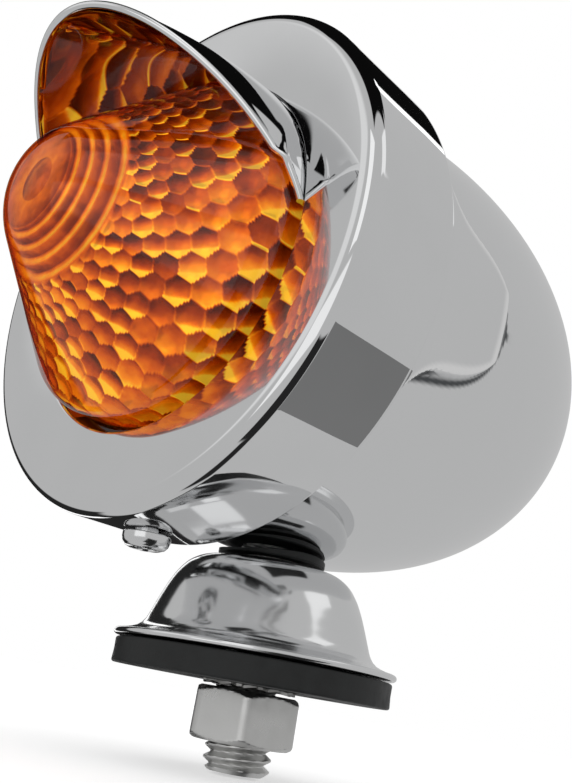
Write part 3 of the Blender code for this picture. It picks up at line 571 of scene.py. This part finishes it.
def makeLensBody():
    s, c, g = lensShape, cellShape, ringShape
    under = np.array(lensOutline(c["under"], 60))
    away = np.r_[0, np.cumsum(np.hypot(*np.diff(under, axis=0).T))]
    # the neck runs straight back from the shoulder to the flange
    neck = [(s["neckR"] - c["under"], a) for a in np.arange(under[-1][1] - 0.3, s["flangeFront"] - 0.7, -0.3)]
    under = np.vstack([under, neck])
    away = np.r_[0, np.cumsum(np.hypot(*np.diff(under, axis=0).T))]
    startR = g["edges"][-1] + 0.2
    start = np.interp(startR, under[:len(under) - len(neck), 0], away[:len(under) - len(neck)])
    # even steps of w, where w grows by distance over radius, keep the cells regular on the cone
    fine = np.linspace(start, away[-1], 2000)
    radius = np.interp(fine, away, under[:, 0])
    ahead = np.interp(fine, away, under[:, 1])
    w = np.r_[0, np.cumsum(np.diff(fine) / ((radius[1:] + radius[:-1]) / 2))]
    pitch = 2 * math.pi / c["around"]
    rowStep = pitch * math.sqrt(3) / 2
    count = int(w[-1] / rowStep * c["perRow"])
    ws = np.linspace(0, w[-1], count)
    rs, hs = np.interp(ws, w, radius), np.interp(ws, w, ahead)
    dr, dh = np.gradient(rs), np.gradient(hs)
    long = np.hypot(dr, dh)
    normalR, normalH = -dh / long, dr / long  # points out of the lens
    columns = c["around"] * c["perCell"]
    theta = np.arange(columns) * 2 * math.pi / columns
    rows, tones = [], []
    for k in range(count):
        rowAt = ws[k] / rowStep
        best, second = np.full(columns, 9.0), np.full(columns, 9.0)
        lean, lot = np.zeros(columns), np.zeros(columns)
        for row in (math.floor(rowAt) - 1, math.floor(rowAt), math.floor(rowAt) + 1, math.floor(rowAt) + 2):
            shift = 0.5 * (row % 2)
            across = (theta / pitch - shift + 0.5) % 1 - 0.5
            cell = np.round(theta / pitch - shift) % c["around"]
            up = (rowAt - row) * math.sqrt(3) / 2
            for side in (-1, 0, 1):
                away = (across - side) ** 2 + up ** 2
                nearer = away < best
                second = np.where(nearer, best, np.minimum(second, away))
                lean = np.where(nearer, (across - side) * 0.9 + up * 0.5, lean)
                lot = np.where(nearer, (np.sin((cell + side) * 12.9898 + row * 78.233) * 43758.5453) % 1, lot)
                best = np.where(nearer, away, best)
        wall = np.sqrt(second) - np.sqrt(best)  # 0 on the border between two cells
        hollow = np.clip(1 - best / c["reach"], 0, 1)
        fade = float(ease(ws[k], 0, rowStep * 0.35))
        depth = c["depth"] * rs[k] / s["neckR"] * hollow * fade
        r = rs[k] - depth * abs(normalR[k])
        h = hs[k] - depth * abs(normalH[k])
        rows.append([(ri * math.sin(t), rimY - hi, lampZ + ri * math.cos(t))
                     for ri, hi, t in zip(r, h, theta)])
        shadow = 0.28 * np.clip(np.cos(theta), 0, 1) ** 0.6  # the peak's shade on the upper half
        luck = (lot * 7.31) % 1
        # painted light: every cell is painted lit on one side and shaded on the other by its lean, with random
        # tone, painted glints and painted bright ridges along the borders
        shade = 0.42 + c["contrast"] * lean * (0.4 + 1.1 * luck) + 0.42 * (lot - 0.5) - shadow
        paintedGlint = ease(lean, 0.22, 0.34) * (luck > 0.55) * 0.4
        tones.append(shade + paintedGlint + c["line"] * (1 - ease(wall, 0.02, 0.13)) * (luck - 0.25))
    # the stepped nose, from the disc outwards
    noseUnder = np.array(lensOutline(g["under"], 40))
    outR, outH = noseUnder[:, 0], noseUnder[:, 1]

    def level(r):
        return float(np.interp(r, outR[:60], outH[:60]))

    # painted light: the nose is painted lit towards 125 degrees round its axis; the lower side of every ring is
    # painted bright, its riser painted dark
    lit = 0.5 + 0.5 * np.cos(theta - math.radians(125))
    nose, noseTones = [], []
    disc = g["edges"][0]
    for i in range(15):
        r = disc * i / 14 * 0.97
        nose.append((r, level(disc) + g["discRise"] * (1 - (i / 14) ** 2) - 0.1))
        noseTones.append(0.52 - 0.30 * (i / 14) ** 3 + 0.18 * (1 - lit) * (i / 14))
    for inner, outer in zip(g["edges"], g["edges"][1:]):
        top, low = level(inner) - 0.05, level(outer)
        nose += [(inner, top - 0.12), (inner + 0.06, low + 0.25), (inner + 0.22, low + 0.06)]
        noseTones += [0.30 + 0.15 * lit, 0.12 + 0.1 * lit, 0.30 + 0.3 * lit]
        nose += [(inner + (outer - inner) * share, low + 0.02 * math.sin(share * 9))
                 for share in (0.35, 0.55, 0.75)]
        noseTones += [0.38 + 0.52 * lit, 0.42 + 0.56 * lit, 0.36 + 0.5 * lit]
        nose += [(outer - 0.12, low)]
        noseTones += [0.30 + 0.25 * lit]
    noseRows = [[lampSpot(r, math.degrees(t), h) for t in theta] for r, h in nose]
    noseTones = [shade + np.zeros(columns) for shade in noseTones]
    backUnder = np.array(lensOutline(s["wall"], 24))
    backEnd = s["flangeFront"] - 0.5
    edge = [(s["neckR"] - c["under"], backEnd), (s["neckR"] - s["wall"], backEnd)]
    back = edge + [tuple(p) for p in backUnder[::-1]]
    backRows = [[lampSpot(r, math.degrees(t), h) for t in theta] for r, h in back]
    backTones = [np.full(columns, 0.35)] * len(backRows)
    body = skinRows("lensHoneycomb", noseRows + rows + backRows, amberBody, sharpAngle=38,
                    tones=noseTones + tones + backTones)
    place(body, "head", "amber", "lens")


# Base: bell-shaped dome, rubber pad, rubber saddle

domeShape = {"wall": 0.9, "lip": 0.45,
             "bell": ((16.9, 2.15), (16.35, 3.0), (15.75, 4.6), (15.1, 6.4), (14.35, 8.3), (13.4, 10.2),
                      (12.1, 11.9), (10.4, 13.0), (8.6, 13.38))}


def makeDome():
    d = domeShape
    bottom, top = domeLow.z, domeHigh.z
    flangeR = domeHigh.x
    bore = studBore
    bell = [(r, bottom + h) for r, h in smoothLine(d["bell"], 7)]
    flange = arcPoints(flangeR - d["lip"], bottom + d["lip"], d["lip"], -90, 78, 8)
    flange += [(19.4, bottom + 1.02), (18.3, bottom + 1.32), (17.5, bottom + 1.66)]
    inner = [(r - d["wall"], h - 0.25 * d["wall"]) for r, h in bell[:-8]][::-1]
    profile = flange + bell + [(bore + 0.2, top), (bore, top - 0.2), (bore, top - d["wall"])]
    profile += [(8.0, top - d["wall"])] + [p for p in inner if p[1] > bottom + 1.4] + [(16.6, bottom)]
    dome = turned("domeBase", profile, softChrome, steps=192, spot=studSpot)
    place(dome, "base", "chrome", "dome_base")


def makePad():
    low, high, r = padLow.z, padHigh.z, padHigh.x
    soft = 0.35
    profile = arcPoints(r - soft, high - soft, soft, 90, 0, 5)
    profile += [(r - 0.06, low + (high - low) * 0.55), (r - 0.06, low + (high - low) * 0.45)]
    profile += arcPoints(r - soft, low + soft, soft, 0, -90, 5)
    profile += [(12.6, low), (12.4, low + 0.12), (9.2, low + 0.12), (9.0, low)]
    profile += [(5.3, low), (studBore, low + 0.2), (studBore, high - 0.2), (5.3, high)]
    place(turned("basePad", profile, rubber, steps=160, spot=studSpot), "base", "rubber", "base_pad")


def makeSeatSaddle():
    # its top follows the round housing, its underside is flat
    clear, outer, bore, steps = housingShape["radius"] + 0.3, seatHigh.x, studBore, 96
    bottom = seatLow.z

    def topAt(r, turn):
        x = r * math.cos(math.radians(turn))
        return lampZ - math.sqrt(clear ** 2 - x ** 2)

    rows = []
    for r, share in ((bore, 0.06), (bore, 0.94), (bore + 0.15, 1.0), (outer * 0.75, 1.0), (outer - 0.25, 1.0),
                     (outer, 0.85), (outer, 0.2), (outer - 0.2, 0.0), (bore + 0.15, 0.0)):
        row = []
        for j in range(steps):
            turn = 360 * j / steps
            row.append(studSpot(r, turn, bottom + (topAt(r, turn) - bottom) * share))
        rows.append(row)
    place(skinRows("seatSaddle", rows, rubber, closeRows=True), "head", "rubber", "seat_washer")


# Stud, nut and lock washer

threadShape = {"pitch": 1.5875, "majorR": 4.76, "depth": 0.92, "flat": 0.14, "boreR": 2.6,
               "around": 72, "perPitch": 14}


def threadCut(turn, height):
    # 0 on the crest, 1 at the root
    t = threadShape
    phase = (height / t["pitch"] - turn / 360) % 1
    away = abs(phase - 0.5) * 2  # 1 on the crest, 0 at the root
    return 1 - float(np.clip((away - t["flat"] * 0.7) / (1 - t["flat"] * 1.7), 0, 1))


def makeStud():
    t = threadShape
    bottom, top = studLow.z, studHigh.z
    headLow = top - 4.0
    steps = t["around"]
    heights = np.arange(bottom, headLow - 0.6, t["pitch"] / t["perPitch"])
    rows = []
    for h in heights:
        bevel = max(0.0, 0.75 - (h - bottom)) * 1.1
        row = []
        for j in range(steps):
            turn = 360 * j / steps
            r = t["majorR"] - t["depth"] * threadCut(turn, h)
            row.append(studSpot(min(r, t["majorR"] - bevel), turn, h))
        rows.append(row)
    headR = studHigh.x
    head = [(t["majorR"] - 0.1, headLow - 0.3), (t["majorR"] - 0.1, headLow), (headR - 0.3, headLow),
            (headR, headLow + 0.3), (headR, top - 0.6), (headR - 0.8, top), (t["boreR"] + 0.4, top),
            (t["boreR"], top - 0.4), (t["boreR"], bottom + 0.4), (t["boreR"] + 0.35, bottom)]
    rows += [[studSpot(r, 360 * j / steps, h) for j in range(steps)] for r, h in head]
    stud = skinRows("threadedStud", rows, zinc, closeRows=True, sharpAngle=28)
    place(stud, "head", "zinc", "mounting_stud")


nutShape = {"flats": 14.29, "turn": 16.4, "crownR": 6.75, "crownSlope": 1.75, "boreR": 4.9, "groove": 0.45,
            "perSide": 24, "cornerSoft": 0.25}


def makeNut():
    n = nutShape
    low, high = nutLow.z, nutHigh.z
    steps = 6 * n["perSide"]
    ends = [0.0, 0.04, 0.12, 0.22, 0.34, 0.48, 0.64, 0.82, 1.02, 1.25, 1.5]
    heights = [low + e for e in ends] + [high - e for e in ends[::-1]]
    rows = []
    for h in heights:
        row = []
        inward = min(h - low, high - h)
        for j in range(steps):
            turn = 360 * j / steps
            side = (turn - n["turn"]) % 60 - 30
            hexR = n["flats"] / 2 / math.cos(math.radians(side))
            corner = n["flats"] / math.sqrt(3)
            hexR = min(hexR, corner - n["cornerSoft"])
            crown = n["crownR"] + inward * n["crownSlope"]
            row.append(studSpot(min(hexR, crown), turn, h))
        rows.append(row)
    bore = []
    span = np.arange(high - 0.5, low + 0.5, -threadShape["pitch"] / 8)
    for h in [high, *span, low]:
        row = []
        for j in range(steps):
            turn = 360 * j / steps
            flare = 0.5 * max(0.0, 1 - min(h - low, high - h) / 0.5)
            row.append(studSpot(n["boreR"] + max(flare, n["groove"] * (1 - threadCut(turn, h))), turn, h))
        bore.append(row)
    place(skinRows("hexNut", rows + bore, zinc, closeRows=True, sharpAngle=24), "nut", "zinc", "hex_nut")


starShape = {"teeth": 12, "boreR": 5.4, "tooth": 0.85, "twist": 0.16, "perTooth": 16}


def makeStarWasher():
    s = starShape
    low, high, outer = starLow.z, starHigh.z, starHigh.x
    steps = s["teeth"] * s["perTooth"]
    middle, half = (low + high) / 2, (high - low) / 2 - 0.12

    def row(share, side):
        made = []
        for j in range(steps):
            phase = (j % s["perTooth"]) / s["perTooth"]
            tooth = float(ease(0.5 - abs(phase - 0.5), 0.16, 0.22))
            r = s["boreR"] + (outer - s["tooth"] * (1 - tooth) - s["boreR"]) * share
            twist = s["twist"] * (phase - 0.5) * 4 * share * tooth
            made.append(studSpot(r, 360 * j / steps, middle + side * half + twist))
        return made

    rows = [row(0.0, 1), row(0.5, 1), row(0.8, 1), row(1.0, 0.8), row(1.0, -0.8), row(0.8, -1), row(0.5, -1),
            row(0.0, -1)]
    place(skinRows("starWasher", rows, steel, closeRows=True), "washer", "steel", "star_washer")


# Bezel screw with a cross recess

screwShape = {"headR": 3.25, "headT": 2.1, "shankR": 1.7, "cross": 0.62, "crossTaper": 0.35, "crossLong": 1.9,
              "crossDepth": 1.35}


def makeScrew():
    s = screwShape
    x, y = (screwLow.x + screwHigh.x) / 2, (screwLow.y + screwHigh.y) / 2
    bottom, top = screwLow.z, screwHigh.z

    def spot(r, turn, h):
        return (x + r * math.cos(math.radians(turn)), y + r * math.sin(math.radians(turn)), h)

    seat = bottom + s["headT"]
    head = [(0.0, bottom), (1.2, bottom + 0.03), (2.1, bottom + 0.16), (2.7, bottom + 0.42),
            (3.05, bottom + 0.85),
            (s["headR"] - 0.02, bottom + 1.4), (s["headR"], seat - 0.15), (s["headR"] - 0.15, seat),
            (s["shankR"], seat), (s["shankR"], seat + 0.4)]
    shank = []
    for i in range(16):
        h = seat + 0.5 + i * 0.35
        shank.append((s["shankR"] - 0.22 * (i % 2), h))
    screw = turned("bezelScrew", head + shank + [(0.9, top - 0.1), (0.0, top)], softChrome, steps=64, spot=spot,
                   open=True)
    for number in range(2):
        cross = bmesh.new()
        bmesh.ops.create_cube(cross, size=1.0)
        for vert in cross.verts:
            deep = vert.co.z > 0
            wide = s["crossTaper"] if deep else s["cross"]
            long = s["crossLong"] * (0.55 if deep else 1.25)
            spotX, spotY = math.copysign(wide, vert.co.x), math.copysign(long, vert.co.y)
            turn = math.radians(22 + 90 * number)
            vert.co = Vector(((x + spotX * math.cos(turn) - spotY * math.sin(turn)) * mm,
                              (y + spotX * math.sin(turn) + spotY * math.cos(turn)) * mm,
                              (bottom + (s["crossDepth"] if deep else -0.6)) * mm))
        cutter = finishMesh(f"cross{number}", cross, softChrome)
        recess = screw.modifiers.new("recess", "BOOLEAN")
        recess.object = cutter
        recess.solver = "EXACT"
        applyModifiers(screw)
        bpy.data.objects.remove(cutter)
    screw.data.set_sharp_from_angle(angle=math.radians(30))
    place(screw, "head", "chrome", "bezel_screw")


makeBezel()
makeHousing()
makeVisor()
makeLensSkin()
makeLensBody()
print("lamp head made")
makeDome()
makePad()
makeSeatSaddle()
makeStud()
makeNut()
makeStarWasher()
makeScrew()
print("base and fasteners made")


# The inner pieces keep their shape and get real finishes

innerFinish = {
    "reflector": mirror, "bulb_socket": steel, "socket_rivet_left": steel, "socket_rivet_right": steel,
    "contact_spring": steel, "filament_post_left": steel, "filament_post_right": steel, "backing_washer": zinc,
    "bezel_clip": zinc, "contact_button": brass, "bulb_cap": brass, "bulb_pin_left": brass,
    "bulb_pin_right": brass, "bulb_contact": solder, "contact_plate": board, "bulb_insulator": board,
    "bulb_glass": bulbGlass, "bulb_stem": bulbGlass, "filament": tungsten, "lens_gasket": rubber,
}
for name, finish in innerFinish.items():
    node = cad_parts[name]
    node.data.materials.clear()
    node.data.materials.append(finish)
    node.data.shade_smooth()
    node.data.set_sharp_from_angle(angle=math.radians(32))
print("inner pieces finished")


# Studio: pale floor, soft grey tent with dark and bright panels, camera

studio = {"grey": 0.54, "backdrop": 1.0, "fill": 1.04,
          # name: bearing from the lamp's front towards its left, height, half width, half height,
          # softness, light
          "panels": {
              "frontSoft": (-28, 26, 14, 15, 9, 0.80),
              "ceiling": (0, 90, 27, 27, 2.0, 0.004),
              "topFlag": (-103, 58, 23, 20, 1.5, 0.004),
              "peakFlag": (-178, 67, 16, 11, 1.0, 0.004),
              "farFlag": (-106, 2, 24, 36, 5.0, 0.02),
              "farStripe": (-116, 4, 3, 30, 1.5, 1.4),
              "underFlag": (160, -78, 15, 11, 4.0, 0.02),
              "keyPanel": (29, 31, 11, 16, 0.7, 1.05),
              "tipPanel": (124, 45, 12, 7, 1.5, 0.95),
              "lowPanel": (18, -6, 24, 13, 3.0, 1.0),
              "lowFlag": (84, -50, 22, 22, 2.5, 0.02),
          }}


def makeWorld():
    world = bpy.data.worlds.new("studio")
    world.use_nodes = True
    bpy.context.scene.world = world
    tree = world.node_tree
    tree.nodes.clear()

    def add(kind, operation=None, *inputs):
        node = tree.nodes.new(kind)
        if operation:
            node.operation = operation
        for i, value in enumerate(inputs):
            if hasattr(value, "is_linked"):
                tree.links.new(value, node.inputs[i])
            else:
                node.inputs[i].default_value = value
        return node

    where = tree.nodes.new("ShaderNodeTexCoord").outputs["Generated"]

    def along(direction):
        return add("ShaderNodeVectorMath", "DOT_PRODUCT", where, direction).outputs["Value"]

    def inside(value, half, soft):
        node = add("ShaderNodeMapRange", None, add("ShaderNodeMath", "ABSOLUTE", value).outputs[0])
        node.interpolation_type = "SMOOTHSTEP"
        node.inputs["From Min"].default_value = math.radians(half + soft)
        node.inputs["From Max"].default_value = math.radians(half)
        return node.outputs["Result"]

    light = None
    for bearing, height, halfWide, halfTall, soft, level in studio["panels"].values():
        a, e = math.radians(bearing), math.radians(height)
        centre = Vector((math.sin(a) * math.cos(e), -math.cos(a) * math.cos(e), math.sin(e)))
        side = Vector((math.cos(a), math.sin(a), 0))
        up = side.cross(centre) * -1
        wide = add("ShaderNodeMath", "ARCTAN2", along(side), along(centre)).outputs[0]
        tall = add("ShaderNodeMath", "ARCSINE", along(up)).outputs[0]
        both = inside(wide, halfWide, soft), inside(tall, halfTall, soft)
        share = add("ShaderNodeMath", "MULTIPLY", *both).outputs[0]
        before = light if light is not None else studio["grey"]
        mix = tree.nodes.new("ShaderNodeMix")
        mix.data_type = "FLOAT"
        tree.links.new(share, mix.inputs["Factor"])
        if light is None:
            mix.inputs["A"].default_value = before
        else:
            tree.links.new(before, mix.inputs["A"])
        mix.inputs["B"].default_value = level
        light = mix.outputs["Result"]
    tent = tree.nodes.new("ShaderNodeBackground")
    tree.links.new(light, tent.inputs["Strength"])
    plain = tree.nodes.new("ShaderNodeBackground")
    plain.inputs["Strength"].default_value = studio["backdrop"]
    fill = tree.nodes.new("ShaderNodeBackground")
    fill.inputs["Strength"].default_value = studio["fill"]
    for background in (tent, plain, fill):
        background.inputs["Color"].default_value = (1, 1, 1, 1)
    rays = tree.nodes.new("ShaderNodeLightPath")
    soft = tree.nodes.new("ShaderNodeMixShader")
    tree.links.new(rays.outputs["Is Diffuse Ray"], soft.inputs["Fac"])
    tree.links.new(tent.outputs[0], soft.inputs[1])
    tree.links.new(fill.outputs[0], soft.inputs[2])
    seen = tree.nodes.new("ShaderNodeMixShader")
    tree.links.new(rays.outputs["Is Camera Ray"], seen.inputs["Fac"])
    tree.links.new(soft.outputs[0], seen.inputs[1])
    tree.links.new(plain.outputs[0], seen.inputs[2])
    tree.links.new(seen.outputs[0], tree.nodes.new("ShaderNodeOutputWorld").inputs["Surface"])


def makeFloor():
    floorMaterial = Nodes("floorPaper")
    paper = floorMaterial.ramp(floorMaterial.noise(3), [(0.3, (0.66, 0.66, 0.66)), (0.7, (0.68, 0.68, 0.68))])
    floorMaterial.link(paper, floorMaterial.shader.inputs["Base Color"])
    floorMaterial.shader.inputs["Roughness"].default_value = 0.9
    floorMaterial.shader.inputs["Specular IOR Level"].default_value = 0.0
    floorMaterial.shader.inputs["Emission Color"].default_value = (1, 1, 1, 1)
    floorMaterial.shader.inputs["Emission Strength"].default_value = 0.5
    bpy.ops.mesh.primitive_plane_add(size=6, location=(0, 0, cadBox[0].z - 0.0004))
    floor = bpy.context.object
    floor.name = "floor"
    floor.data.materials.append(floorMaterial.material)
    floor.visible_glossy = False


cameraSetup = {"spot": (0.0970, -0.0984, -0.0017), "right": (0.730, 0.663, 0.168),
               "back": (0.677, -0.664, -0.318), "lens": 42.33}


def makeCamera():
    back = Vector(cameraSetup["back"]).normalized()
    right = Vector(cameraSetup["right"])
    right = (right - back * right.dot(back)).normalized()
    up = back.cross(right)
    data = bpy.data.cameras.new("camera")
    data.sensor_width = 36
    data.lens = cameraSetup["lens"]
    data.clip_start = 0.005
    camera = bpy.data.objects.new("camera", data)
    bpy.context.scene.collection.objects.link(camera)
    turn = Matrix((right, up, back)).transposed().to_4x4()
    camera.matrix_world = Matrix.Translation(cameraSetup["spot"]) @ turn
    bpy.context.scene.camera = camera


# cards held close to the band, each between two angles round it: first, last, light
bandCards = {"greyCard": (115.0, 132.5, 0.2), "blackCard": (53.5, 66.0, 0.004),
             "whiteEdge": (66.2, 68.0, 1.5), "whiteCard": (43.0, 53.3, 0.82)}
cardGap = 4.0  # from the band to the cards


def makeBandCards():
    # they show only as reflections in the band
    eye = Vector(cameraSetup["spot"]) / mm
    for name, (first, last, light) in bandCards.items():
        verts, steps = [], 12
        for i in range(steps + 1):
            angle = first + (last - first) * i / steps
            outward = Vector((math.sin(math.radians(angle)), 0, math.cos(math.radians(angle))))
            for ahead in (-0.2, -bandDepth + 0.25):
                spot = Vector(lampSpot(bezelR, angle, ahead))
                look = (spot - eye).normalized()
                verts.append((spot + (look - outward * 2 * look.dot(outward)) * cardGap) * mm)
        card = bpy.data.meshes.new(name)
        card.from_pydata(verts, [], [(2 * i, 2 * i + 1, 2 * i + 3, 2 * i + 2) for i in range(steps)])
        nodes = Nodes(name)
        nodes.link(nodes.ramp(nodes.noise(30), [(0.3, (0.93, 0.93, 0.93)), (0.7, (1, 1, 1))]),
                   nodes.shader.inputs["Emission Color"])
        nodes.shader.inputs["Base Color"].default_value = (0, 0, 0, 1)
        nodes.shader.inputs["Specular IOR Level"].default_value = 0.0
        nodes.shader.inputs["Emission Strength"].default_value = light
        card.materials.append(nodes.material)
        piece = bpy.data.objects.new(name, card)
        bpy.context.scene.collection.objects.link(piece)
        for ray in ("camera", "diffuse", "transmission", "shadow", "volume_scatter"):
            setattr(piece, "visible_" + ray, False)


makeWorld()
makeBandCards()
makeFloor()
makeCamera()
bpy.context.scene.view_settings.view_transform = "Standard"
print("studio ready")
